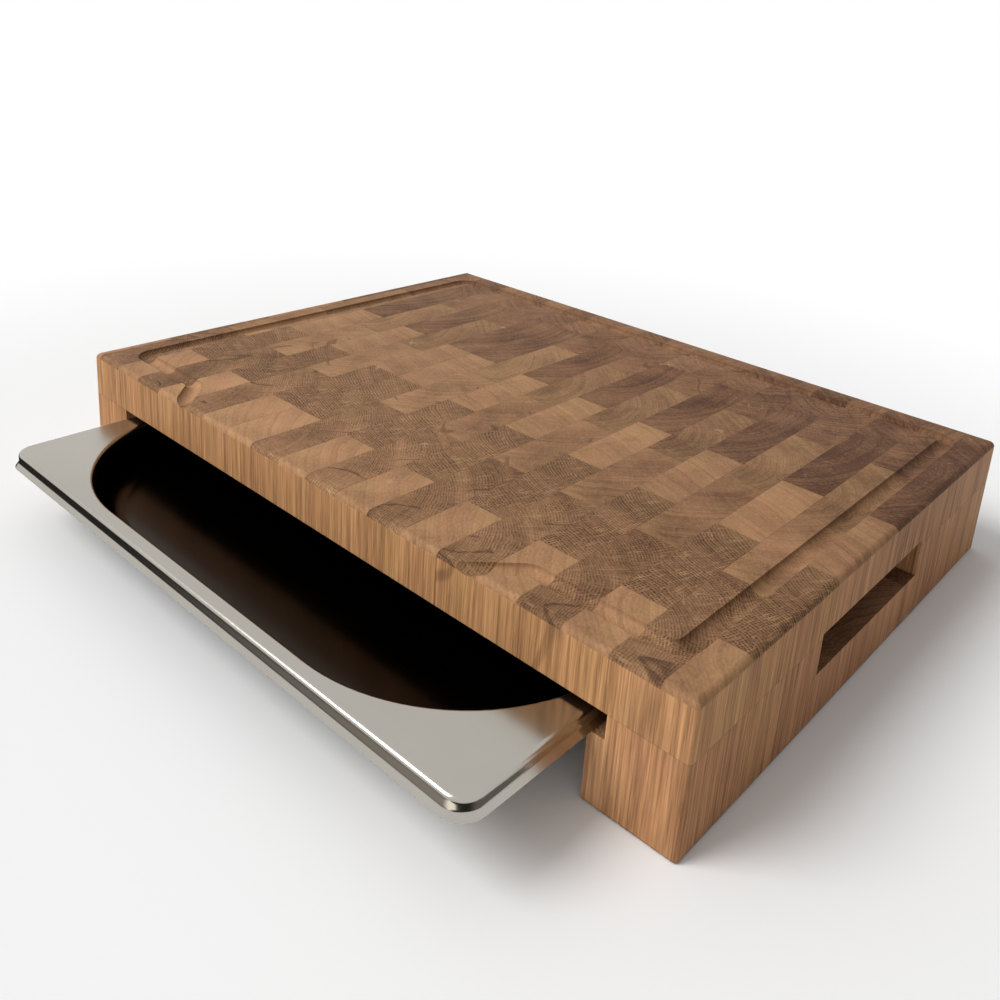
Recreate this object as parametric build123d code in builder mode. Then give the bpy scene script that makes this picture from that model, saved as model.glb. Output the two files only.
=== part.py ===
from build123d import *
import os
from math import cos, radians, tan

# End-grain oak cutting board on two legs, with a pressed steel tray that slides out from under it.
# Frame: +X right, -Y to the front where the tray comes out, +Z up. The origin lies on the worktop,
# under the middle of the object as it stands with its tray pulled out. Millimetres.

# ---- board: its width and depth are worked out below, from the tray that it is made round ----
slab_height = 24.0
leg_height = 41.0
leg_width = 41.0
corner_radius = 2.0        # upright corners of slab and legs
top_round = 3.0            # round-over of the slab's top edge
foot_round = 1.5           # round-over of the legs' bottom edges

# ---- strips of the slab, side by side along X ----
strip_width = 21.1
first_strip_width = 5.6    # what trimming left of the strip at the left edge
narrowest_strip = 3.0
twin_strip = 7             # this strip repeats the layout of the one before it
stave_slant = 1.36         # degrees: the block joints drift forward from left to right
layout_a = (40.0, 69.0, 60.0, 84.0)    # block lengths from the front, the last block takes the rest
layout_b = (78.0, 69.0, 75.0)
leg_layout = (66.0, 55.0, 69.0, 63.0)
shortest_block = 10.0

# ---- juice groove in the top: round three sides, with both ends led out over the front edge ----
juice_inset = 14.0         # board edge to the groove's outer edge
juice_width = 9.0
juice_depth = 2.8
juice_corner_radius = 7.0  # at the middle of the groove
spout_left = 125.5         # board's middle to where the groove's left end turns to the front
spout_right = 113.5        # the same for its right end
spout_angle = 45.0         # degrees between those ends and the front edge
spout_overrun = 10.0       # how far the cutter runs on past the front edge

# ---- grip slots in the sides ----
slot_length = 106.0
slot_height = 19.0
slot_depth = 24.0
slot_above_seam = 2.5      # how far the slot reaches up into the slab

# ---- tray ----
sheet = 0.8
tray_width = 325.0         # along X, over the lip
tray_length = 265.0        # along Y, over the lip
tray_depth = 20.0          # rim to floor, inside
rim_height = 7.5           # flat of the rim to the bottom of the lip
rim_corner_radius = 11.0
rim_round = 2.2            # outside radius between the rim's flat and its upright band
lip_flare = 1.8            # how far the lip stands out from the band
lip_height = 2.6
flange_side = 10.0         # lip to basin, left and right
flange_front = 9.3         # lip to basin, front and back
basin_corner_radius = 80.0
wall_slope = 12.0          # degrees from upright
mouth_radius = 2.0
floor_radius = 12.0

# ---- how the tray sits in the board ----
runner_depth = 7.5         # groove cut into each leg's inner face
side_gap = 4.0             # lip to each groove's side, with the tray in the middle
slide_gap = 0.3            # lip above the ledge it slides on
headroom = 2.6             # rim's flat to the slab above it
stop_gap = 0.5             # behind the closed tray
stop_length = 34.5         # whole wood of each leg behind its groove
tray_side_shift = -1.5     # the tray lies a little left in its play
tray_pulled_out = 64.5     # lip ahead of the board's front face, as it stands

# ---- sizes and places worked out from the values above ----
board_width = tray_width + 2 * (side_gap + leg_width - runner_depth)
board_depth = tray_length + stop_gap + stop_length
front_y = (tray_pulled_out - board_depth) / 2
back_y = front_y + board_depth
middle_y = front_y + board_depth / 2
half_width = board_width / 2
slab_top = leg_height + slab_height
runner_height = slide_gap + rim_height + headroom
ledge_z = leg_height - runner_height
tray_top = ledge_z + slide_gap + rim_height
tray_x = tray_side_shift
tray_y = front_y - tray_pulled_out + tray_length / 2
runner_length = tray_length + stop_gap


def joints(lengths, start, end):
    """Y of each joint between blocks of these lengths, as far as they fit between start and end."""
    places = []
    y = start
    for length in lengths:
        y += length
        if y < end - shortest_block:
            places.append(y)
    return places


def strip_edges():
    """X of the strips' side faces: a trimmed strip at the left, then whole ones up to the right edge."""
    edges = [-half_width, first_strip_width - half_width]
    while edges[-1] + strip_width < half_width - narrowest_strip:
        edges.append(edges[-1] + strip_width)
    return edges + [half_width]


# ---- form of the whole slab: outline, round-over, juice groove and the tops of the slots ----
juice_radius = (juice_width**2 / 4 + juice_depth**2) / (2 * juice_depth)
juice_centre_z = slab_top - juice_depth + juice_radius
juice_x = half_width - juice_inset - juice_width / 2
juice_y = board_depth / 2 - juice_inset - juice_width / 2
spout_y = board_depth / 2 + spout_overrun
spout_run = (spout_y - juice_y) / tan(radians(spout_angle))

with BuildPart() as juice_form:
    with BuildLine(Plane((0, middle_y, juice_centre_z))) as juice_path:
        FilletPolyline(
            (spout_run - spout_left, -spout_y), (-spout_left, -juice_y), (-juice_x, -juice_y),
            (-juice_x, juice_y), (juice_x, juice_y),
            (juice_x, -juice_y), (spout_right, -juice_y), (spout_right - spout_run, -spout_y),
            radius=juice_corner_radius,
        )
    with BuildSketch(Plane(juice_path.line @ 0, z_dir=juice_path.line % 0)):
        Circle(juice_radius)
    sweep(path=juice_path.line)

slot_bottom = leg_height + slot_above_seam - slot_height
with BuildPart() as slot_form:
    with BuildSketch(Plane((0, middle_y, slot_bottom))):
        with Locations((half_width, 0), (-half_width, 0)):
            Rectangle(2 * slot_depth, slot_length)
    extrude(amount=slot_height)

with BuildPart() as slab_form:
    with BuildSketch(Plane((0, middle_y, leg_height))):
        RectangleRounded(board_width, board_depth, corner_radius)
    extrude(amount=slab_height)
    fillet(slab_form.faces().sort_by(Axis.Z)[-1].edges(), radius=top_round)
    add(juice_form.part, mode=Mode.SUBTRACT)
    add(slot_form.part, mode=Mode.SUBTRACT)

# ---- form of both legs: outline, round-over, slots and the grooves that the tray slides in ----
with BuildPart() as runner_form:
    with BuildSketch(Plane((0, front_y, ledge_z))):
        with Locations((0, runner_length / 2)):
            Rectangle(board_width - 2 * (leg_width - runner_depth), runner_length)
    extrude(amount=runner_height)

with BuildPart() as leg_form:
    with BuildSketch(Plane((0, middle_y, 0))):
        RectangleRounded(board_width, board_depth, corner_radius)
        Rectangle(board_width - 2 * leg_width, board_depth, mode=Mode.SUBTRACT)
    extrude(amount=leg_height)
    fillet(leg_form.faces().sort_by(Axis.Z)[:2].edges(), radius=foot_round)
    add(runner_form.part, mode=Mode.SUBTRACT)
    add(slot_form.part, mode=Mode.SUBTRACT)

# ---- forms of the tray: rim outside and inside, basin outside and inside ----
band_height = rim_height - lip_height
rim_forms = []
for inset in (0.0, sheet):
    with BuildPart() as rim_form:
        band_size = (tray_width - 2 * (lip_flare + inset), tray_length - 2 * (lip_flare + inset))
        with BuildSketch(Plane((tray_x, tray_y, tray_top - band_height))) as band:
            RectangleRounded(*band_size, rim_corner_radius - lip_flare - inset)
        extrude(amount=band_height - inset)
        fillet(rim_form.faces().sort_by(Axis.Z)[-1].edges(), radius=rim_round - inset)
        with BuildSketch(Plane((tray_x, tray_y, tray_top - rim_height))) as lip:
            RectangleRounded(tray_width - 2 * inset, tray_length - 2 * inset, rim_corner_radius - inset)
        loft(sections=[band.sketch, lip.sketch], ruled=True)
    rim_forms.append(rim_form.part)

wall_across = sheet / cos(radians(wall_slope))    # the sloping wall's thickness, measured level
basin_size = (tray_width - 2 * flange_side, tray_length - 2 * flange_front)
basin_forms = []
for wider, deeper in ((wall_across, sheet), (0.0, 0.0)):
    with BuildPart() as basin_form:
        with BuildSketch(Plane((tray_x, tray_y, tray_top), z_dir=(0, 0, -1))):
            RectangleRounded(basin_size[0] + 2 * wider, basin_size[1] + 2 * wider,
                             basin_corner_radius + wider)
        extrude(amount=tray_depth + deeper, taper=wall_slope)
        fillet(basin_form.faces().sort_by(Axis.Z)[0].edges(), radius=floor_radius + deeper)
    basin_forms.append(basin_form.part)

# ---- pieces ----
os.makedirs("parts", exist_ok=True)

edges = strip_edges()
for index, (left, right) in enumerate(zip(edges[:-1], edges[1:])):
    name = f"slab_strip_{index + 1:02d}"
    shifted = index + 1 if index >= twin_strip else index
    lengths = layout_a if shifted % 2 == 0 else layout_b
    drift = -(left + right) / 2 * tan(radians(stave_slant))
    with BuildPart() as strip:
        add(slab_form.part)
        with BuildSketch(Plane(((left + right) / 2, middle_y, leg_height))):
            Rectangle(right - left, board_depth)
        extrude(amount=slab_height, mode=Mode.INTERSECT)
        for y in joints(lengths, front_y + drift, back_y):
            split(bisect_by=Plane((0, y, 0), z_dir=(0, 1, 0)), keep=Keep.BOTH)
    strip.part.label = name
    export_step(strip.part, f"parts/{name}.step")

leg_joints = joints(leg_layout, front_y, back_y)
leg_ends = list(zip([front_y] + leg_joints, leg_joints + [back_y]))
for side, sign in (("left", -1), ("right", 1)):
    for index, (near, far) in enumerate(leg_ends):
        name = f"{side}_leg_block_{index + 1}"
        with BuildPart() as block:
            add(leg_form.part)
            with BuildSketch(Plane((sign * (half_width - leg_width / 2), (near + far) / 2, 0))):
                Rectangle(leg_width, far - near)
            extrude(amount=leg_height, mode=Mode.INTERSECT)
        block.part.label = name
        export_step(block.part, f"parts/{name}.step")

with BuildPart() as tray:
    add(rim_forms[0])
    add(rim_forms[1], mode=Mode.SUBTRACT)
    add(basin_forms[0])
    add(basin_forms[1], mode=Mode.SUBTRACT)
    rim_underside = tray.faces().filter_by(Plane.XY).sort_by(Axis.Z)[-2]
    fillet(rim_underside.inner_wires().edges(), radius=mouth_radius + sheet)
    rim_flat = tray.faces().filter_by(Plane.XY).sort_by(Axis.Z)[-1]
    fillet(rim_flat.inner_wires().edges(), radius=mouth_radius)
tray.part.label = "tray"
export_step(tray.part, "parts/tray.step")
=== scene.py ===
import logging
import random
from dataclasses import dataclass
from enum import Enum
from math import cos, hypot, pi, radians, sin, tan
from typing import Any, Iterator, Sequence, Union

import bmesh
import bpy
from mathutils import Matrix, Vector


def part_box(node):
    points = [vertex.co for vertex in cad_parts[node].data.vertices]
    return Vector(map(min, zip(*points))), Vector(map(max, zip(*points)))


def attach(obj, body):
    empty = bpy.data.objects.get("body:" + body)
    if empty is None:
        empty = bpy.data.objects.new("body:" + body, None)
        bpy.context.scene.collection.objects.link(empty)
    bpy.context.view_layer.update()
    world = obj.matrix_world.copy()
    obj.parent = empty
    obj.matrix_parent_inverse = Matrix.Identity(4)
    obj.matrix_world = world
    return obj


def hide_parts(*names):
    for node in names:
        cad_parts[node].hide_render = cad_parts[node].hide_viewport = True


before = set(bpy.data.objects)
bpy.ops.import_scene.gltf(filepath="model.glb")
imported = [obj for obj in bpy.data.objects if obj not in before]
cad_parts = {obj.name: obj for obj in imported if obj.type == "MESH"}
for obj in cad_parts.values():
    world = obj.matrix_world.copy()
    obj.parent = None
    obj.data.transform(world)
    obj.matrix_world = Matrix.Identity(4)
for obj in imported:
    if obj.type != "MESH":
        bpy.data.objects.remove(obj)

# An end-grain oak cutting board on two legs, with a pressed steel tray that slides out from under it.
# The frame's axes: +X right, -Y to the front, +Z up. Lengths are metres, and millimetres in the finishes,
# the staves, the slab and the tray.

log = logging.getLogger("board")

MM = 0.001
PHOTO_PIXELS = 1000.0

Number = Union["Wire", float]
Point = tuple[float, float]
Colour = tuple[float, ...]
Spot = tuple["Wire", "Wire", "Wire"]


# ---- shader and geometry trees ----


class Wire:
    """A number that runs through a shader tree. Operators on it add Math nodes to the tree."""

    def __init__(self, bench: "Bench", socket: bpy.types.NodeSocket) -> None:
        """Keeps the output socket and the bench whose tree it belongs to."""
        self.bench = bench
        self.socket = socket

    def maths(self, operation: str, *others: Number, clamp: bool = False) -> "Wire":
        """Adds one Math node.

        Args:
            operation: the Math node's operation.
            others: the operands after this one.
            clamp: whether the result is kept between 0 and 1.

        Returns:
            The node's result.
        """
        settings = {"operation": operation, "use_clamp": clamp}
        return self.bench.wire("ShaderNodeMath", settings, dict(enumerate((self, *others))))

    def __add__(self, other: Number) -> "Wire":
        """This plus other."""
        return self.maths("ADD", other)

    def __sub__(self, other: Number) -> "Wire":
        """This minus other."""
        return self.maths("SUBTRACT", other)

    def __rsub__(self, other: float) -> "Wire":
        """Other minus this."""
        return self.bench.wire("ShaderNodeMath", {"operation": "SUBTRACT"}, {0: other, 1: self})

    def __mul__(self, other: Number) -> "Wire":
        """This times other."""
        return self.maths("MULTIPLY", other)

    def __truediv__(self, other: Number) -> "Wire":
        """This divided by other."""
        return self.maths("DIVIDE", other)

    __radd__ = __add__
    __rmul__ = __mul__

    def least(self, other: Number) -> "Wire":
        """The smaller of the two."""
        return self.maths("MINIMUM", other)

    def most(self, other: Number) -> "Wire":
        """The larger of the two."""
        return self.maths("MAXIMUM", other)

    def absolute(self) -> "Wire":
        """This without its sign."""
        return self.maths("ABSOLUTE")

    def clamped(self) -> "Wire":
        """This, kept between 0 and 1."""
        return self.maths("ADD", 0.0, clamp=True)

    def ramp(self, start: float, end: float) -> "Wire":
        """A soft step. With start above end it runs down.

        Args:
            start: where it is 0.
            end: where it is 1.

        Returns:
            The step.
        """
        settings = {"interpolation_type": "SMOOTHSTEP"}
        low, high, first, last = (start, end, 0.0, 1.0) if start < end else (end, start, 1.0, 0.0)
        values = {"Value": self, "From Min": low, "From Max": high, "To Min": first, "To Max": last}
        return self.bench.wire("ShaderNodeMapRange", settings, values)


class Bench:
    """Builds one node tree, of a material, a world or a geometry group."""

    def __init__(self, tree: bpy.types.NodeTree) -> None:
        """Starts from an empty tree."""
        self.tree = tree
        tree.nodes.clear()

    def node(self, kind: str, settings: dict[str, Any] | None = None,
             values: dict[Any, Any] | None = None) -> bpy.types.Node:
        """Adds one node.

        Args:
            kind: the node's type.
            settings: its own properties, set before its sockets, such as a Math node's operation.
            values: a value, Wire or output socket for each input, by the input's name or number.

        Returns:
            The new node.
        """
        made = self.tree.nodes.new(kind)
        for name, value in (settings or {}).items():
            setattr(made, name, value)
        for key, value in (values or {}).items():
            socket = made.inputs[key]
            if isinstance(value, Wire):
                value = value.socket
            if isinstance(value, bpy.types.NodeSocket):
                self.tree.links.new(value, socket)
            else:
                socket.default_value = value
        return made

    def wire(self, kind: str, settings: dict[str, Any] | None = None,
             values: dict[Any, Any] | None = None, output: str | int = 0) -> Wire:
        """As node(), and returns one of the new node's outputs as a Wire."""
        return Wire(self, self.node(kind, settings, values).outputs[output])

    def parts(self, vector: Any) -> Spot:
        """The X, Y and Z of a vector."""
        split = self.node("ShaderNodeSeparateXYZ", None, {0: vector})
        return tuple(Wire(self, out) for out in split.outputs)

    def vector(self, x: Number, y: Number, z: Number) -> Wire:
        """A vector from its three numbers."""
        return self.wire("ShaderNodeCombineXYZ", None, {0: x, 1: y, 2: z})

    def millimetres(self) -> Spot:
        """The X, Y and Z of the shaded point, in the object's own millimetres."""
        own = self.node("ShaderNodeTexCoord").outputs["Object"]
        return self.parts(self.wire("ShaderNodeVectorMath", {"operation": "SCALE"},
                                    {0: own, "Scale": 1 / MM}))

    def noise(self, at: Sequence[Number], detail: float, roughness: float = 0.5) -> Wire:
        """Smooth noise about 0, from -0.5 to 0.5."""
        values = {"Vector": self.vector(*at), "Scale": 1.0, "Detail": detail, "Roughness": roughness}
        return self.wire("ShaderNodeTexNoise", {"noise_dimensions": "3D"}, values) - 0.5

    def blend(self, share: Number, first: Any, second: Any) -> Wire:
        """Two colours blended: share 0 gives the first and 1 the second."""
        return self.wire("ShaderNodeMix", {"data_type": "RGBA"}, {0: share, 6: first, 7: second}, 2)

    def surface(self, kind: str, values: dict[Any, Any]) -> None:
        """Adds a material's shader and leads it to the material's output."""
        self.node("ShaderNodeOutputMaterial", None, {"Surface": self.node(kind, None, values).outputs[0]})


def srgb(red: int, green: int, blue: int) -> tuple[float, float, float, float]:
    """A screen colour as Blender's linear colour.

    Args:
        red: its red, 0 to 255.
        green: its green.
        blue: its blue.

    Returns:
        Red, green, blue and 1.
    """
    def linear(value: int) -> float:
        """One of the three, undoing the screen's own curve."""
        share = value / 255
        return share / 12.92 if share <= 0.04045 else ((share + 0.055) / 1.055) ** 2.4

    return (linear(red), linear(green), linear(blue), 1.0)


def new_material(name: str) -> tuple[bpy.types.Material, Bench]:
    """An empty node material.

    Args:
        name: its name.

    Returns:
        The material, and the bench to build it on.
    """
    made = bpy.data.materials.new(name)
    made.use_nodes = True
    return made, Bench(made.node_tree)


def placed(name: str, data: bpy.types.ID) -> bpy.types.Object:
    """A new object, linked to the scene.

    Args:
        name: its name.
        data: its mesh, lamp or camera.

    Returns:
        The object.
    """
    made = bpy.data.objects.new(name, data)
    bpy.context.scene.collection.objects.link(made)
    return made


def box_mm(node: str) -> tuple[Vector, Vector]:
    """A CAD node's lowest and highest corner, in mm."""
    low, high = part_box(node)
    return low / MM, high / MM


# ---- finishes ----


@dataclass(frozen=True)
class Grain:
    """The wood's own pattern at the shaded point.

    level is its tone, pores how open the stave's pores are, early the open part of each ring, pore the
    pores themselves, ray the rays, fine and fibre the grain on the end and the side, stripe the side's
    broad stripes, vein the dark veins and hue the shift of hue.
    """

    level: Wire
    pores: Wire
    early: Wire
    pore: Wire
    ray: Wire
    fine: Wire
    fibre: Wire
    stripe: Wire
    vein: Wire
    hue: Wire


@dataclass(frozen=True)
class Cut:
    """How the shaded face lies: on end grain, on the top, flat, on the groove's wall, or underneath the slab,
    where its shade is painted.
    """

    end: Wire
    top: Wire
    flat: Wire
    wall: Wire
    under: Wire


@dataclass(frozen=True)
class Oak:
    """Oiled oak. Its pattern is solid: the same rings, pores and rays on top and down the sides.

    Each block carries what differs from block to block as attributes of its mesh: pith is where the
    middle of its tree lies and how wide the rings are, stave its tone, pores and figure, growth the
    pith's distance, the block's own seed and its warmth, and low and high are its glued faces.
    The finish itself keeps the slab's lowest and highest corner, since its place on the board decides
    where end grain shows. The sizes are in mm, and so is what divides a coordinate in a noise.
    """

    name: str
    low: Vector
    high: Vector
    end_dark: Colour = srgb(80, 52, 33)
    end_light: Colour = srgb(195, 148, 107)
    side_dark: Colour = srgb(104, 69, 44)
    side_light: Colour = srgb(224, 168, 116)
    pore_colour: Colour = srgb(42, 27, 19)
    ray_colour: Colour = srgb(196, 158, 116)
    vein_colour: Colour = srgb(72, 46, 32)
    groove_colour: Colour = srgb(86, 52, 31)
    # painted shade: the colour that darkens the slab's underside
    painted_shade_colour: Colour = srgb(62, 42, 28)
    glue_colour: Colour = srgb(78, 50, 34)
    glue_width: float = 0.25
    pore_pitch: float = 1.0
    end_roughness: float = 0.62
    side_roughness: float = 0.56
    gloss: float = 0.12
    bump_strength: float = 0.35
    bump_height: float = 0.4
    ring_sway: float = 9.0
    ring_ripple: float = 1.1
    ray_bend: float = 5.0
    year_spread: float = 0.16
    hue_spread: float = 0.022
    pore_scatter: float = 0.42
    end_pores: float = 0.84
    side_pores: float = 0.22
    ray_share: float = 0.2
    wall_share: float = 0.32
    knife_share: float = 0.4
    # how strongly the painted shade darkens the slab's underside
    painted_shade_share: float = 0.7
    glue_share: float = 0.4
    edge_round: float = 3.5
    top_band: float = 5.0
    under_band: float = 1.0

    def build(self) -> bpy.types.Material:
        """Makes the material.

        Returns:
            The oak, ready for a mesh with the block attributes.
        """
        made, b = new_material(self.name)
        x, y, z = point = b.millimetres()
        grain = self.grow(b, point)
        cut = self.cut(b, point)
        line = self.glue(b, point)
        face = b.blend(line * self.glue_share, self.colour(b, point, grain, cut), self.glue_colour)
        grime = b.noise((x * 0.012, y * 0.012, z * 0.012), 2.0)
        rough = (self.end_roughness - self.side_roughness) * cut.end + self.side_roughness
        rough = rough + grime * 0.16 + grain.pore * 0.2
        height = grain.fibre * 0.25 * (1 - cut.end) - grain.pore * 0.8 + grain.ray * 0.1 * cut.end
        height = height - line * 0.6
        bump = b.node("ShaderNodeBump", None, {
            "Strength": self.bump_strength, "Distance": self.bump_height * MM, "Height": height})
        b.surface("ShaderNodeBsdfPrincipled", {
            "Base Color": face, "Roughness": rough, "Normal": bump.outputs[0],
            "Specular IOR Level": self.gloss})
        return made

    def grow(self, b: Bench, point: Spot) -> Grain:
        """The pattern, in the wood's own coordinates: out from the pith, round it and up the tree.

        Args:
            b: the bench.
            point: the shaded point in mm.

        Returns:
            The grain.
        """
        x, y, z = point
        pith_x, pith_y, ring = b.parts(self.read(b, "pith"))
        tone, pores, figure = b.parts(self.read(b, "stave"))
        reach, seed, warmth = b.parts(self.read(b, "growth"))
        from_x, from_y, up = x - pith_x, y - pith_y, z * 0.006 + seed
        sway = b.noise((from_x * 0.034, from_y * 0.034, up), 1.0) * self.ring_sway
        ripple = b.noise((from_x * 0.17, from_y * 0.17, up), 1.0) * self.ring_ripple
        out = (from_x * from_x + from_y * from_y).maths("SQRT") + sway + ripple
        bend = b.noise((from_x * 0.06, from_y * 0.06, up + 4), 1.0) * self.ray_bend
        round_it = from_y.maths("ARCTAN2", from_x) * reach + bend
        turn = out / ring
        year = {"W": turn.maths("FLOOR") + seed * 11}
        vigour = b.wire("ShaderNodeTexWhiteNoise", {"noise_dimensions": "1D"}, year) - 0.5
        share = turn.maths("FRACT")
        early = share.ramp(0.9, 0.5) * share.ramp(0.1, 0.45)
        cloud = b.noise((from_x * 0.035, from_y * 0.035, up + 7), 3.0, 0.55)

        # pores: one dot for each ring and step round it, which runs up the tree as a fine dark line
        step = b.vector(turn, round_it / self.pore_pitch, 0.0)
        cells = b.wire("ShaderNodeTexVoronoi", {"feature": "F1", "voronoi_dimensions": "2D"},
                       {"Vector": step, "Scale": 1.0, "Randomness": self.pore_scatter}, "Distance")
        patchy = b.noise((from_x / 15, from_y / 15, up + 9), 2.0).ramp(-0.16, 0.1) * 0.6 + 0.4
        dots = (cells.ramp(0.5, 0.2) * 0.95 + early * 0.12).least(1.0)

        # dark veins along the rays, and blots
        vein_line = b.noise((round_it / 17, out / 60, up + 3), 1.0).absolute().ramp(0.02, 0.005)
        vein_here = b.noise((from_x / 26, from_y / 26, up + 5), 0.0).ramp(0.03, 0.12)
        blot = b.noise((round_it / 9, out / 24, up + 2), 2.0).ramp(0.1, 0.3)
        return Grain(
            level=tone + cloud * (figure * 0.4 + 0.55) + vigour * self.year_spread,
            pores=pores,
            early=early,
            pore=dots * (early * 0.45 + 0.55) * pores * patchy,
            ray=b.noise((round_it / 0.7, out / 9, z / 30), 1.0).ramp(0.05, 0.2),
            fine=b.noise((out / 0.7, round_it / 1.8, z / 40), 2.0),
            fibre=b.noise((x / 0.8, y / 0.8, z / 30), 3.0, 0.65),
            stripe=b.noise((x / 3.2, y / 3.2, z / 120 + seed), 2.0),
            vein=(vein_line * vein_here).most(blot * 0.5) * figure,
            hue=b.noise((from_x / 24, from_y / 24, up + 11), 2.0) * self.hue_spread + warmth,
        )

    def cut(self, b: Bench, point: Spot) -> Cut:
        """Where which kind of face lies: end grain is on top, over its edge and in the juice groove.

        Args:
            b: the bench.
            point: the shaded point in mm.

        Returns:
            The cut.
        """
        x, y, z = point
        upward = b.parts(b.node("ShaderNodeTexCoord").outputs["Normal"])[2]
        level = upward.absolute()
        margin = (self.high.x - x.absolute()).least(y - self.low.y).least(self.high.y - y)
        top_level, under_level = self.high.z - self.top_band, self.low.z - self.under_band
        top = z.ramp(top_level - 0.5, top_level + 0.5)
        groove = (1 - margin.ramp(self.edge_round + 0.8, self.edge_round)) * top
        return Cut(
            end=level.ramp(0.1, 0.3) * (1 - groove) + groove,
            top=top,
            flat=level.ramp(0.97, 0.99),
            wall=groove * level.ramp(0.8, 0.55),
            # painted shade: the faces that look down at the slab's underside
            under=upward.ramp(-0.5, -0.9) * z.ramp(under_level - 1, under_level),
        )

    def knife(self, b: Bench, point: Spot) -> Wire:
        """Fine knife marks in two directions, in patches.

        Args:
            b: the bench.
            point: the shaded point in mm.

        Returns:
            1 on a mark.
        """
        x, y, _ = point
        along, across = x + y * 0.85, x * 0.8 - y
        first = b.noise((along / 110, across / 5, 3.0), 0.0).absolute().ramp(0.006, 0.001)
        second = b.noise((along / 7, across / 120, 8.0), 0.0).absolute().ramp(0.005, 0.001)
        return first.most(second) * b.noise((x / 16, y / 16, 1.0), 1.0).ramp(0.07, 0.15)

    def colour(self, b: Bench, point: Spot, grain: Grain, cut: Cut) -> Wire:
        """The wood's colour without its glue lines.

        Args:
            b: the bench.
            point: the shaded point in mm.
            grain: the pattern there.
            cut: how the face lies there.

        Returns:
            The colour.
        """
        x, y, z = point
        end_tone = grain.level - grain.early * 0.14 * grain.pores + grain.ray * 0.12 * grain.pores
        end_tone = end_tone + grain.fine * 0.5
        side_tone = grain.level * 0.3 + grain.fibre * 1.2 + grain.stripe * 0.8 - grain.early * 0.08 + 0.35
        end_face = b.blend(end_tone.clamped(), self.end_dark, self.end_light)
        side_face = b.blend(side_tone.clamped(), self.side_dark, self.side_light)
        broken = b.noise((x / 1.4, y / 1.4, z / 11), 1.0).ramp(-0.02, 0.12)
        side_pores = broken * (1 - cut.end) * self.side_pores
        layers = (
            (grain.vein * (cut.end * 0.35 + 0.4), self.vein_colour),
            (grain.pore * (cut.end * self.end_pores + side_pores), self.pore_colour),
            (grain.ray * cut.end * grain.pores * self.ray_share, self.ray_colour),
            # darker brown on the juice groove's steep walls
            (cut.wall * self.wall_share, self.groove_colour),
            (self.knife(b, point) * cut.top * cut.flat * self.knife_share, self.ray_colour),
            # painted shade on the slab's underside
            (cut.under * self.painted_shade_share, self.painted_shade_colour),
        )
        face = b.blend(cut.end, side_face, end_face)
        for share, colour in layers:
            face = b.blend(share, face, colour)
        values = {"Hue": grain.hue, "Saturation": 1.0, "Value": 1.0, "Color": face}
        return b.wire("ShaderNodeHueSaturation", None, values, "Color")

    def glue(self, b: Bench, point: Spot) -> Wire:
        """The glue lines between blocks.

        Args:
            b: the bench.
            point: the shaded point in mm.

        Returns:
            1 on a line and 0 away from it.
        """
        low, high = b.parts(self.read(b, "low")), b.parts(self.read(b, "high"))
        across, along, upright = ((at - near).least(far - at) for at, near, far in zip(point, low, high))
        x, y, z = point
        wobble = b.noise((x * 0.2, y * 0.2, z * 0.2), 2.0) * 0.3
        return (across.least(along).least(upright) + wobble).ramp(self.glue_width, 0.0)

    @staticmethod
    def read(b: Bench, attribute: str) -> Wire:
        """One of the block attributes, as a vector."""
        return b.wire("ShaderNodeAttribute", {"attribute_name": attribute}, None, "Vector")


@dataclass(frozen=True)
class Steel:
    """Pressed stainless steel with a fine satin surface, with painted shade down in the basin, where its
    colour turns dark.

    The basin is what lies under the tray's highest corner and more than rim_width inside its outline.
    low and high are the tray's corners. The sizes are in mm.
    """

    name: str
    low: Vector
    high: Vector
    colour: Colour = srgb(181, 177, 168)
    cloud_colour: Colour = srgb(169, 165, 156)
    # painted shade down in the basin
    basin_shade_colour: Colour = srgb(46, 39, 33)
    rim_width: float = 6.0
    roughness: float = 0.2
    grain: float = 0.06
    clouds: float = 0.1
    dents: float = 0.1

    def build(self) -> bpy.types.Material:
        """Makes the material.

        Returns:
            The steel.
        """
        made, b = new_material(self.name)
        x, y, z = b.millimetres()
        brushed = b.noise((x / 18, y / 0.35, z / 0.35), 2.0)
        cloudy = b.noise((x / 45, y / 45, z / 30), 3.0)
        pressed = b.noise((x / 28, y / 28, z / 14), 1.0)
        rough = brushed * self.grain + cloudy * self.clouds + self.roughness
        shade = b.blend((cloudy + 0.5).clamped(), self.cloud_colour, self.colour)
        across = (x - self.low.x).least(self.high.x - x)
        along = (y - self.low.y).least(self.high.y - y)
        inside = across.least(along).ramp(self.rim_width, self.rim_width + 1)
        # painted shade: down in the basin the steel's colour turns dark
        down = z.ramp(self.high.z - 1, self.high.z - 6)
        shade = b.blend(down * inside, shade, self.basin_shade_colour)
        bump = b.node("ShaderNodeBump", None, {
            "Strength": self.dents, "Distance": MM, "Height": pressed + brushed * 0.02})
        b.surface("ShaderNodeBsdfPrincipled", {
            "Base Color": shade, "Metallic": 1.0, "Roughness": rough, "Normal": bump.outputs[0]})
        return made


# ---- wood ----


@dataclass(frozen=True)
class Stave:
    """One length of oak, from which the blocks of the same place in each strip are sawn.

    tone runs from 0, dark, to 1, light. pith is the tree's middle, from the block's own middle, in
    millimetres, and ring the width of a year's growth.
    """

    tone: float
    pith: Point
    ring: float
    pores: float
    figure: float = 0.0
    warmth: float = 0.5


class Layout(Enum):
    """The two ways in which a strip is divided, as lengths in mm from the front. The last takes the rest."""

    A = (40.0, 69.0, 60.0, 84.0)
    B = (78.0, 69.0, 75.0)


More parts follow.
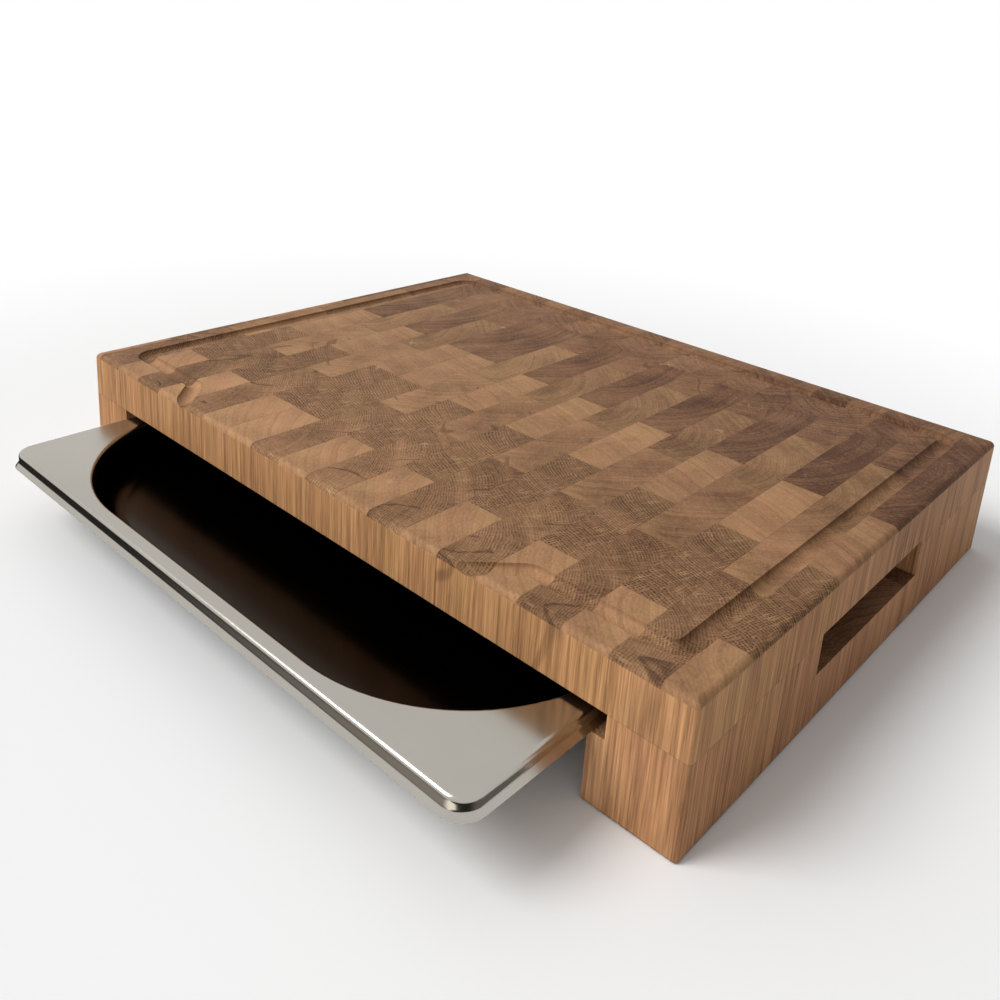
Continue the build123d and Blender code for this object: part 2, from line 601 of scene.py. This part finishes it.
STAVES: dict[Layout, tuple[Stave, ...]] = {
    Layout.A: (
        Stave(0.7, (60.0, 50.0), 1.9, 0.16, 0.1),
        Stave(0.46, (34.0, 88.0), 1.45, 1.0, 0.1),
        Stave(0.62, (-30.0, -90.0), 2.1, 0.16, 0.2),
        Stave(0.24, (-70.0, 20.0), 1.5, 0.2, 0.1, 0.497),
        Stave(0.28, (50.0, 60.0), 1.6, 0.25, 0.3, 0.497),
    ),
    Layout.B: (
        Stave(0.48, (-38.0, -34.0), 1.2, 0.8, 0.9),
        Stave(0.54, (-46.0, 50.0), 1.4, 0.34, 0.7),
        Stave(0.44, (-30.0, -16.0), 1.6, 0.3, 0.3, 0.503),
        Stave(0.32, (-36.0, 40.0), 1.5, 0.25, 0.7, 0.497),
    ),
}

LEG_STAVES: tuple[Stave, ...] = (
    Stave(0.42, (60.0, 40.0), 2.1, 0.5, 0.2, 0.497),
    Stave(0.3, (-50.0, 70.0), 1.9, 0.5, 0.3, 0.497),
    Stave(0.45, (70.0, -30.0), 2.3, 0.5, 0.2, 0.497),
    Stave(0.25, (-60.0, -50.0), 2.0, 0.5, 0.3, 0.497),
    Stave(0.38, (40.0, 60.0), 2.2, 0.5, 0.2, 0.497),
)

FAR = 1000.0  # mm: where a block has no glued face


@dataclass
class Block:
    """One block of oak as it is drawn: its glued faces and its stave."""

    low: Vector
    high: Vector
    stave: Stave
    seed: float
    tone_shift: float = 0.0

    def attributes(self, middle: Vector) -> dict[str, Vector]:
        """What the oak's material reads from the block's mesh.

        Args:
            middle: the block's middle, in mm.

        Returns:
            A vector for each attribute's name.
        """
        stave = self.stave
        return {
            "pith": Vector((middle.x + stave.pith[0], middle.y + stave.pith[1], stave.ring)),
            "stave": Vector((stave.tone + self.tone_shift, stave.pores, stave.figure)),
            "growth": Vector((hypot(*stave.pith), self.seed, stave.warmth)),
            "low": self.low,
            "high": self.high,
        }


class Carpenter:
    """Turns the frame's wood nodes into smooth shaded pieces whose blocks know their own grain.

    weld and on_plane, how near a joint's plane a triangle counts as on it, are in metres.
    """

    weld = 2e-6
    on_plane = 2e-5
    crease = radians(32)

    def __init__(self, oak: bpy.types.Material, slot: str) -> None:
        """Keeps the finish that the pieces get and the record's slot for it."""
        self.oak = oak
        self.slot = slot

    def piece(self, name: str, node: str, blocks: Sequence[Block], cuts: Sequence[float]) -> bpy.types.Object:
        """Makes one piece from a wood node.

        Args:
            name: the piece's name.
            node: the CAD node that it stands for.
            blocks: its blocks, from front to back.
            cuts: Y in metres of the joints between them, one fewer than the blocks.

        Returns:
            The finished piece, riding on the board.
        """
        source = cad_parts[node].data
        corners = [vertex.co.copy() for vertex in source.vertices]
        source.calc_loop_triangles()
        shells: list[list[tuple[int, ...]]] = [[] for _ in blocks]
        for triangle in source.loop_triangles:
            centre = sum((corners[i] for i in triangle.vertices), Vector()) / 3
            shells[self.shell(centre.y, triangle.normal.y, cuts)].append(tuple(triangle.vertices))
        whole = bpy.data.meshes.new(name)
        joined = bmesh.new()
        for block, faces in zip(blocks, shells):
            shell = self.block_mesh(corners, faces, block)
            joined.from_mesh(shell)
            bpy.data.meshes.remove(shell)
        joined.to_mesh(whole)
        joined.free()
        whole.materials.append(self.oak)
        return finished(name, whole, "board", self.slot, [node], self.crease)

    def shell(self, y: float, facing: float, cuts: Sequence[float]) -> int:
        """Which block a triangle belongs to: on a joint's own plane its facing tells.

        Args:
            y: the triangle's middle.
            facing: the Y of its normal.
            cuts: Y of the joints.

        Returns:
            The block's number from the front.
        """
        index = 0
        for cut in cuts:
            on_cut = abs(y - cut) < self.on_plane
            if y > cut + self.on_plane or (on_cut and facing < 0):
                index += 1
        return index

    def block_mesh(self, corners: list[Vector], faces: list[tuple[int, ...]], block: Block) -> bpy.types.Mesh:
        """One block's own closed mesh, with its doubles merged and its attributes on every vertex.

        Args:
            corners: the node's vertices.
            faces: the block's triangles, as numbers of those.
            block: the block.

        Returns:
            The mesh.
        """
        used = sorted({i for face in faces for i in face})
        place = {old: new for new, old in enumerate(used)}
        loose = bpy.data.meshes.new("block")
        loose.from_pydata([corners[i] for i in used], [], [[place[i] for i in face] for face in faces])
        shape = bmesh.new()
        shape.from_mesh(loose)
        bmesh.ops.remove_doubles(shape, verts=shape.verts, dist=self.weld)
        low = Vector(map(min, zip(*(v.co for v in shape.verts))))
        high = Vector(map(max, zip(*(v.co for v in shape.verts))))
        for name, value in block.attributes((low + high) / 2 / MM).items():
            layer = shape.verts.layers.float_vector.new(name)
            for vertex in shape.verts:
                vertex[layer] = value
        shape.to_mesh(loose)
        shape.free()
        return loose


FLATNESS = 100  # how much a large face holds the shading of its edges level


def finished(name: str, mesh: bpy.types.Mesh, body: str, slot: str, nodes: Sequence[str],
             crease: float) -> bpy.types.Object:
    """Shades a mesh smooth between its creases, puts it on its body and hides the CAD nodes that it stands
    for.

    Args:
        name: the piece's name.
        mesh: its mesh, with its place in its vertices and its material set.
        body: the CAD body that it rides on.
        slot: not used.
        nodes: the CAD nodes that it stands for.
        crease: the angle past which an edge stays sharp.

    Returns:
        The piece.
    """
    draft = placed(name + "_draft", mesh)
    mesh.shade_smooth()
    mesh.set_sharp_from_angle(angle=crease)
    weighted = draft.modifiers.new("even", "WEIGHTED_NORMAL")
    weighted.keep_sharp = True
    weighted.weight = FLATNESS
    bpy.context.view_layer.update()
    evaluated = draft.evaluated_get(bpy.context.evaluated_depsgraph_get())
    final = bpy.data.meshes.new_from_object(evaluated)
    bpy.data.objects.remove(draft)
    final.name = name
    piece = placed(name, final)
    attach(piece, body)
    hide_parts(*nodes)
    log.info("%s: %d faces", name, len(final.polygons))
    return piece


@dataclass
class Slab:
    """The end-grain top: strips side by side, each of four or five blocks stood on end.

    Each block's tone strays by up to tone_spread, and right of the middle it falls by up to half of
    right_tone_and_shade_fall, partly as the blocks' own darker tone and partly as painted shade where the
    light falls off to the right. drift is how far the pattern moves on from one strip to the next.
    """

    strips: int = 20
    twin_strip: int = 7
    stave_slant: float = radians(1.36)
    shortest_block: float = 10.0
    tone_spread: float = 0.07
    # partly the blocks' own darker tone, partly painted shade where the light falls off to the right
    right_tone_and_shade_fall: float = 0.28
    drift: float = 0.09
    draw_seed: int = 4

    def build(self, oak: bpy.types.Material) -> list[bpy.types.Object]:
        """Makes each strip.

        Args:
            oak: the slab's finish.

        Returns:
            The strips, from left to right.
        """
        draw = random.Random(self.draw_seed)
        carpenter = Carpenter(oak, "oak_slab")
        return [self.strip(index, carpenter, draw) for index in range(self.strips)]

    def node(self, index: int) -> str:
        """The CAD node of a strip, by its number from the left."""
        return f"slab_strip_{index + 1:02d}"

    def outline(self) -> tuple[Vector, Vector]:
        """The whole slab's lowest and highest corner in mm."""
        return box_mm(self.node(0))[0], box_mm(self.node(self.strips - 1))[1]

    def strip(self, index: int, carpenter: Carpenter, draw: random.Random) -> bpy.types.Object:
        """One strip, from its layout and its own small differences from its neighbours.

        Args:
            index: its number from the left.
            carpenter: who makes it.
            draw: where its chances come from.

        Returns:
            The strip.
        """
        node = self.node(index)
        low, high = box_mm(node)
        shifted = index + 1 if index >= self.twin_strip else index
        layout = Layout.A if shifted % 2 == 0 else Layout.B
        cuts = list(self.joints(layout, low, high))
        ends = [-FAR, *cuts, FAR]
        left = -FAR if index == 0 else low.x
        right = FAR if index == self.strips - 1 else high.x
        # darker to the right: partly the blocks' own tone, partly painted shade
        fall = self.right_tone_and_shade_fall * max(0.0, index / (self.strips - 1) - 0.5)
        blocks = []
        for stave, near, far in zip(STAVES[layout], ends[:-1], ends[1:]):
            shift = draw.uniform(-self.tone_spread, self.tone_spread) - fall
            seed = round(stave.tone * 10 + stave.ring + index * self.drift, 2)
            blocks.append(Block(Vector((left, near, low.z)), Vector((right, far, FAR)), stave, seed, shift))
        return carpenter.piece(f"strip_{index + 1:02d}", node, blocks, [cut * MM for cut in cuts])

    def joints(self, layout: Layout, low: Vector, high: Vector) -> Iterator[float]:
        """The joints of a strip, which drift forward from left to right.

        Args:
            layout: its block lengths.
            low: its lowest corner in mm.
            high: its highest corner.

        Yields:
            Y of each joint.
        """
        y = low.y - (low.x + high.x) / 2 * tan(self.stave_slant)
        for length in layout.value:
            y += length
            if y < high.y - self.shortest_block:
                yield y


@dataclass
class Legs:
    """The two legs, each glued up from five blocks of upright oak."""

    blocks: int = 5
    tone_spread: float = 0.05
    seed_spread: float = 9.0
    draw_seed: int = 9

    def build(self, oak: bpy.types.Material) -> list[bpy.types.Object]:
        """Makes each block of each leg.

        Args:
            oak: the legs' finish.

        Returns:
            The blocks, left leg first.
        """
        draw = random.Random(self.draw_seed)
        carpenter = Carpenter(oak, "oak_legs")
        return [self.block(side, index, carpenter, draw)
                for side in ("left", "right") for index in range(self.blocks)]

    def block(self, side: str, index: int, carpenter: Carpenter, draw: random.Random) -> bpy.types.Object:
        """One block of one leg.

        Args:
            side: the leg, left or right.
            index: the block's number from the front.
            carpenter: who makes it.
            draw: where its chances come from.

        Returns:
            The block.
        """
        node = f"{side}_leg_block_{index + 1}"
        low, high = box_mm(node)
        near = -FAR if index == 0 else low.y
        far = FAR if index == self.blocks - 1 else high.y
        block = Block(Vector((-FAR, near, -FAR)), Vector((FAR, far, high.z)), LEG_STAVES[index],
                      draw.uniform(0, self.seed_spread), draw.uniform(-self.tone_spread, self.tone_spread))
        return carpenter.piece(f"{side}_leg_{index + 1}", node, [block], [])


# ---- tray ----


SHORTEST = 1e-4  # mm: shorter steps of a section are left out


def filleted(corners: Sequence[Point], radii: Sequence[float], steps: int) -> list[Point]:
    """An open line through corners, each inner one rounded.

    Args:
        corners: the line's points.
        radii: a radius for each inner corner, 0 for a sharp one.
        steps: how many pieces each rounding has.

    Returns:
        The line's points with its roundings.
    """
    line = [Vector(corners[0])]
    for before, corner, after, radius in zip(corners, corners[1:], corners[2:], radii):
        here = Vector(corner)
        back, ahead = (Vector(before) - here).normalized(), (Vector(after) - here).normalized()
        if not radius:
            line.append(here)
            continue
        half = back.angle(ahead) / 2
        centre = here + (back + ahead).normalized() * radius / sin(half)
        first = here + back * radius / tan(half)
        last = here + ahead * radius / tan(half)
        for i in range(steps + 1):
            line.append(centre + (first - centre).slerp(last - centre, i / steps) * radius)
    line.append(Vector(corners[-1]))
    kept = [line[0]]
    kept += [point for previous, point in zip(line, line[1:]) if (point - previous).length > SHORTEST]
    return [(point.x, point.y) for point in kept]


@dataclass
class Sweep:
    """A section that follows a rounded rectangle: the outline's size and corners, and the section."""

    name: str
    width: float
    length: float
    corner: float
    section: list[Point]


@dataclass
class Tray:
    """The pressed steel tray. Its sizes are in mm, and its place is its node's."""

    sheet: float = 0.8
    depth: float = 20.0
    rim_height: float = 7.5
    rim_corner_radius: float = 11.0
    rim_round: float = 2.2
    lip_flare: float = 1.8
    lip_height: float = 2.6
    lip_bend: float = 2.2
    flange_side: float = 10.0
    flange_front: float = 9.3
    basin_corner_radius: float = 80.0
    wall_slope: float = radians(12.0)
    mouth_radius: float = 2.0
    floor_radius: float = 12.0
    corner_steps: int = 24
    bend_steps: int = 7
    weld: float = 0.01
    crease: float = radians(35)

    def rim(self, width: float, length: float) -> Sweep:
        """The rim's sweep, from the flange's top over the band and lip to the flange's underside.

        Args:
            width: the tray's width over its lip.
            length: its length over its lip.

        Returns:
            The sweep.
        """
        inset = self.lip_flare + self.rim_round
        band, out = self.rim_height - self.lip_height, self.rim_round
        corners = [(0, 0), (out, 0), (out, -band), (inset, -self.rim_height),
                   (inset - self.sheet, -self.rim_height), (out - self.sheet, -band),
                   (out - self.sheet, -self.sheet), (0, -self.sheet)]
        radii = [self.rim_round, self.lip_bend, 0, 0, self.lip_bend + self.sheet, self.rim_round - self.sheet]
        return Sweep("Rim", width - 2 * inset, length - 2 * inset, self.rim_corner_radius - inset,
                     filleted(corners, radii, self.bend_steps))

    def basin(self, name: str, width: float, length: float, skin: float) -> Sweep:
        """The basin's sweep, from the flange down the wall to the floor.

        Args:
            name: what the sweep is called.
            width: the tray's width over its lip.
            length: its length over its lip.
            skin: 0 for the inside and the sheet's thickness for the underside.

        Returns:
            The sweep, with its outline where the flange starts to bend down.
        """
        slant = tan(self.wall_slope)
        wall = skin * slant - skin / cos(self.wall_slope)
        foot = (self.depth + skin) * slant - skin / cos(self.wall_slope)
        quarter = tan((pi / 2 - self.wall_slope) / 2)
        start = wall - (self.mouth_radius + skin) * quarter
        end = foot + (self.floor_radius + skin) * quarter
        corners = [(0, -skin), (start - wall, -skin), (start - foot, -self.depth - skin),
                   (start - end, -self.depth - skin)]
        section = filleted(corners, [self.mouth_radius + skin, self.floor_radius + skin], self.bend_steps)
        return Sweep(name, width - 2 * (self.flange_side + start), length - 2 * (self.flange_front + start),
                     self.basin_corner_radius - start, section)

    def build(self, steel: bpy.types.Material) -> bpy.types.Object:
        """Makes the tray.

        Args:
            steel: its finish.

        Returns:
            The tray, riding on its own body.
        """
        low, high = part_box("tray")
        width, length = (high.x - low.x) / MM, (high.y - low.y) / MM
        sweeps = [self.rim(width, length), self.basin("Mouth", width, length, 0.0),
                  self.basin("Underside", width, length, self.sheet)]
        levels = [0.0, -self.sheet, -self.depth, -self.depth - self.sheet]
        tree, inputs = self.tree(sweeps, levels, steel)
        carrier = placed("tray_carrier", bpy.data.meshes.new("tray_carrier"))
        modifier = carrier.modifiers.new("pressed", "NODES")
        modifier.node_group = tree
        sections = [self.section_object(sweep) for sweep in sweeps]
        for sweep, section in zip(sweeps, sections):
            modifier[inputs[sweep.name + " section"]] = section
            modifier[inputs[sweep.name + " width"]] = sweep.width * MM
            modifier[inputs[sweep.name + " length"]] = sweep.length * MM
            modifier[inputs[sweep.name + " corner"]] = sweep.corner * MM
        modifier[inputs["Corner steps"]] = self.corner_steps
        bpy.context.view_layer.update()
        evaluated = carrier.evaluated_get(bpy.context.evaluated_depsgraph_get())
        mesh = bpy.data.meshes.new_from_object(evaluated)
        for helper in (carrier, *sections):
            bpy.data.objects.remove(helper)
        shape = bmesh.new()
        shape.from_mesh(mesh)
        bmesh.ops.remove_doubles(shape, verts=shape.verts, dist=self.weld * MM)
        bmesh.ops.recalc_face_normals(shape, faces=shape.faces)
        open_edges = sum(not edge.is_manifold for edge in shape.edges)
        shape.to_mesh(mesh)
        shape.free()
        mesh.transform(Matrix.Translation(((low.x + high.x) / 2, (low.y + high.y) / 2, high.z)))
        log.info("tray: %d open edges", open_edges)
        return finished("steel_tray", mesh, "tray", "steel", ["tray"], self.crease)

    def section_object(self, sweep: Sweep) -> bpy.types.Object:
        """A sweep's section as a line of edges: X is outward and Y is down.

        Args:
            sweep: the sweep.

        Returns:
            An object with that line.
        """
        mesh = bpy.data.meshes.new(sweep.name)
        points = [(out * MM, -up * MM, 0) for out, up in sweep.section]
        mesh.from_pydata(points, [(i, i + 1) for i in range(len(points) - 1)], [])
        return placed(sweep.name + "_section", mesh)

    def tree(self, sweeps: Sequence[Sweep], levels: Sequence[float],
             steel: bpy.types.Material) -> tuple[bpy.types.NodeTree, dict[str, str]]:
        """The geometry tree: each section swept round its outline, and the flats between them filled.

        Args:
            sweeps: what is swept. The modifier's inputs are named after them.
            levels: the heights in mm of the flats to be filled.
            steel: the finish.

        Returns:
            The tree, and its inputs' identifiers by name.
        """
        tree = bpy.data.node_groups.new("Pressed tray", "GeometryNodeTree")
        face = tree.interface
        face.new_socket("Geometry", in_out="OUTPUT", socket_type="NodeSocketGeometry")
        inputs = {}
        for sweep in sweeps:
            kinds = {" section": "Object", " width": "Float", " length": "Float", " corner": "Float"}
            for part, kind in kinds.items():
                name = sweep.name + part
                socket = face.new_socket(name, in_out="INPUT", socket_type="NodeSocket" + kind)
                inputs[name] = socket.identifier
        steps = face.new_socket("Corner steps", in_out="INPUT", socket_type="NodeSocketInt")
        inputs["Corner steps"] = steps.identifier
        b = Bench(tree)
        given = b.node("NodeGroupInput").outputs
        walls = b.node("GeometryNodeJoinGeometry")
        for sweep in sweeps:
            outline = b.node("GeometryNodeCurvePrimitiveQuadrilateral", {"mode": "RECTANGLE"}, {
                "Width": given[sweep.name + " width"], "Height": given[sweep.name + " length"]})
            rounded = b.node("GeometryNodeFilletCurve", {"mode": "POLY"}, {
                "Curve": outline.outputs[0], "Count": given["Corner steps"],
                "Radius": given[sweep.name + " corner"]})
            level = b.node("GeometryNodeSetCurveNormal", {"mode": "Z_UP"}, {"Curve": rounded.outputs[0]})
            info = b.node("GeometryNodeObjectInfo", None, {"Object": given[sweep.name + " section"]})
            section = b.node("GeometryNodeMeshToCurve", None, {"Mesh": info.outputs["Geometry"]})
            swept = b.node("GeometryNodeCurveToMesh", None, {
                "Curve": level.outputs[0], "Profile Curve": section.outputs[0]})
            tree.links.new(swept.outputs[0], walls.inputs[0])
        whole = b.node("GeometryNodeJoinGeometry")
        tree.links.new(walls.outputs[0], whole.inputs[0])
        for height in levels:
            flat = self.flat(b, walls.outputs[0], height * MM)
            tree.links.new(flat.outputs[0], whole.inputs[0])
        welded = b.node("GeometryNodeMergeByDistance", None, {
            "Geometry": whole.outputs[0], "Distance": self.weld * MM})
        real = b.node("GeometryNodeRealizeInstances", None, {0: welded.outputs[0]})
        dressed = b.node("GeometryNodeSetMaterial", None, {"Geometry": real.outputs[0], "Material": steel})
        b.node("NodeGroupOutput", None, {0: dressed.outputs[0]})
        return tree, inputs

    def flat(self, b: Bench, walls: bpy.types.NodeSocket, height: float) -> bpy.types.Node:
        """Nodes that fill the flat between the walls' open edges at one height.

        Args:
            b: the tree's bench.
            walls: the swept walls.
            height: the flat's height in metres.

        Returns:
            The last of the nodes.
        """
        place = b.node("GeometryNodeInputPosition")
        up = b.parts(place.outputs[0])[2]
        faces = b.wire("GeometryNodeInputMeshEdgeNeighbors")
        near = (up - height).absolute().maths("LESS_THAN", self.weld * MM)
        chosen = near * faces.maths("LESS_THAN", 1.5)
        loops = b.node("GeometryNodeMeshToCurve", None, {"Mesh": walls, "Selection": chosen})
        filled = b.node("GeometryNodeFillCurve", {"mode": "TRIANGLES"}, {"Curve": loops.outputs[0]})
        return b.node("GeometryNodeTransform", None, {
            "Geometry": filled.outputs[0], "Translation": (0.0, 0.0, height)})


# ---- studio ----


@dataclass
class Studio:
    """A pale floor, a white surround that lights more from the front left, and one broad soft lamp.

    Beside the tray a card lies on the floor. It is seen in the steel alone, and gives the rim its dark
    band, its glint at the near corner and its brown right side.
    """

    floor_size: float = 8.0
    floor_colour: Colour = (0.93, 0.93, 0.93, 1.0)
    world_light: float = 0.54
    world_lean: float = 1.0
    lean_azimuth: float = radians(-50)
    lamp_strength: float = 1.9
    lamp_spread: float = radians(32)
    lamp_azimuth: float = radians(-36)
    lamp_height: float = radians(46)
    card_dark: float = 0.03
    card_light: float = 0.42
    card_brown: float = 0.2
    card_glint: float = 1.4
    card_edge: float = 0.169
    card_near: Point = (-0.5, -0.6)
    card_far: Point = (0.3, -0.12)
    card_height: float = 0.0005
    left_fade: Point = (-0.12, 0.16)
    glint_fade: Point = (0.128, 0.15)
    right_fade: Point = (-0.19, -0.16)
    card_colour: Colour = (1.0, 0.93, 0.86, 1.0)
    shade_start: float = 0.3
    shade_end: float = 0.62

    def build(self) -> None:
        """Makes the floor, the card, the world and the lamp."""
        self.floor()
        self.card()
        self.world()
        self.lamp()

    def seen(self, b: Bench) -> Wire:
        """Which rays see the studio, and which only carry its light.

        Args:
            b: the bench.

        Returns:
            1 for rays of the camera, of reflections and through glass, and 0 for light.
        """
        path = b.node("ShaderNodeLightPath").outputs
        camera = Wire(b, path["Is Camera Ray"])
        return camera.most(Wire(b, path["Is Glossy Ray"])).most(Wire(b, path["Is Transmission Ray"]))

    def floor(self) -> None:
        """The floor: it takes the object's shadow nearby and runs into pure white further out."""
        made, b = new_material("studio_floor")
        x, y, _ = b.parts(b.node("ShaderNodeTexCoord").outputs["Object"])
        away = (x * x + y * y).maths("SQRT").ramp(self.shade_start, self.shade_end)
        lit = b.node("ShaderNodeBsdfDiffuse", None, {"Color": self.floor_colour})
        white = b.node("ShaderNodeEmission", None, {"Strength": 1.0})
        b.surface("ShaderNodeMixShader", {0: away * self.seen(b), 1: lit.outputs[0], 2: white.outputs[0]})
        half = self.floor_size / 2
        self.sheet("floor", (-half, -half), (half, half), 0.0, made)

    def card(self) -> None:
        """The card: dark at the left, lighter to the right, bright by the near corner, then brown."""
        made, b = new_material("studio_card")
        x, y, _ = b.parts(b.node("ShaderNodeTexCoord").outputs["Object"])
        left = x.ramp(*self.left_fade) * (self.card_light - self.card_dark) + self.card_dark
        left = left + x.ramp(*self.glint_fade) * self.card_glint
        right = y.ramp(*self.right_fade) * (self.card_brown - self.card_dark) + self.card_dark
        past = x.maths("GREATER_THAN", self.card_edge)
        glow = past * right + (1 - past) * left
        b.surface("ShaderNodeEmission", {"Color": self.card_colour, "Strength": glow})
        card = self.sheet("card", self.card_near, self.card_far, self.card_height, made)
        card.visible_camera = card.visible_diffuse = False
        card.visible_shadow = card.visible_transmission = False

    def sheet(self, name: str, near: Point, far: Point, height: float,
              made: bpy.types.Material) -> bpy.types.Object:
        """One flat piece of the stage.

        Args:
            name: its name.
            near: X and Y of one corner.
            far: X and Y of the corner opposite.
            height: its Z.
            made: its material.

        Returns:
            The piece.
        """
        mesh = bpy.data.meshes.new(name)
        outline = (near, (far[0], near[1]), far, (near[0], far[1]))
        mesh.from_pydata([(x, y, height) for x, y in outline], [], [(0, 1, 2, 3)])
        mesh.materials.append(made)
        piece = placed(name, mesh)
        return piece

    def world(self) -> None:
        """The surround: white where it is seen, and a soft light that comes more from the front left."""
        world = bpy.data.worlds.new("studio")
        world.use_nodes = True
        bpy.context.scene.world = world
        b = Bench(world.node_tree)
        way_x, way_y, _ = b.parts(b.node("ShaderNodeTexCoord").outputs["Generated"])
        lean = way_x * sin(self.lean_azimuth) - way_y * cos(self.lean_azimuth)
        light = (lean * self.world_lean + 1) * self.world_light
        seen = self.seen(b)
        strength = seen + (1 - seen) * light
        glow = b.node("ShaderNodeBackground", None, {"Color": (1.0, 1.0, 1.0, 1.0), "Strength": strength})
        b.node("ShaderNodeOutputWorld", None, {"Surface": glow.outputs[0]})

    def lamp(self) -> None:
        """The one lamp, wide enough for soft shadows."""
        light = bpy.data.lights.new("window", "SUN")
        light.energy = self.lamp_strength
        light.angle = self.lamp_spread
        lamp = placed("window", light)
        towards = Vector((sin(self.lamp_azimuth) * cos(self.lamp_height),
                          -cos(self.lamp_azimuth) * cos(self.lamp_height), sin(self.lamp_height)))
        lamp.rotation_mode = "QUATERNION"
        lamp.rotation_quaternion = towards.to_track_quat("Z", "Y")


@dataclass
class PhotoCamera:
    """The camera at the photograph's place, in metres, with its lens in pixels of a 1000 pixel frame."""

    place: tuple[float, float, float] = (0.31947, -0.35929, 0.27377)
    azimuth: float = radians(40.44)
    elevation: float = radians(16.976)
    roll: float = radians(4.253)
    focal_pixels: float = 985.71
    centre_pixels: Point = (520.7, 300.0)
    sensor: float = 36.0
    nearest: float = 0.01

    def build(self) -> None:
        """Makes the camera and gives it to the scene."""
        data = bpy.data.cameras.new("camera")
        data.sensor_width = self.sensor
        data.lens = self.focal_pixels / PHOTO_PIXELS * data.sensor_width
        data.shift_x = 0.5 - self.centre_pixels[0] / PHOTO_PIXELS
        data.shift_y = self.centre_pixels[1] / PHOTO_PIXELS - 0.5
        data.clip_start = self.nearest
        camera = placed("camera", data)
        back = Vector((sin(self.azimuth) * cos(self.elevation), -cos(self.azimuth) * cos(self.elevation),
                       sin(self.elevation)))
        right = Vector((0, 0, 1)).cross(back).normalized()
        up = back.cross(right)
        turned_right = right * cos(self.roll) + up * sin(self.roll)
        turned_up = up * cos(self.roll) - right * sin(self.roll)
        pose = Matrix((turned_right, turned_up, back)).transposed().to_4x4()
        pose.translation = Vector(self.place)
        camera.matrix_world = pose
        bpy.context.scene.camera = camera


# ---- everything in order ----


def main() -> None:
    """Builds the object, its light and its camera."""
    logging.basicConfig(level=logging.INFO, format="%(name)s: %(message)s")
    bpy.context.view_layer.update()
    PhotoCamera().build()
    Studio().build()
    slab = Slab()
    slab.build(Oak("oak_end_grain", *slab.outline()).build())
    Legs().build(Oak("oak_upright", *slab.outline()).build())
    Tray().build(Steel("satin_steel", *box_mm("tray")).build())
    scene = bpy.context.scene
    scene.view_settings.view_transform = "Standard"


if __name__ == "__main__":
    main()
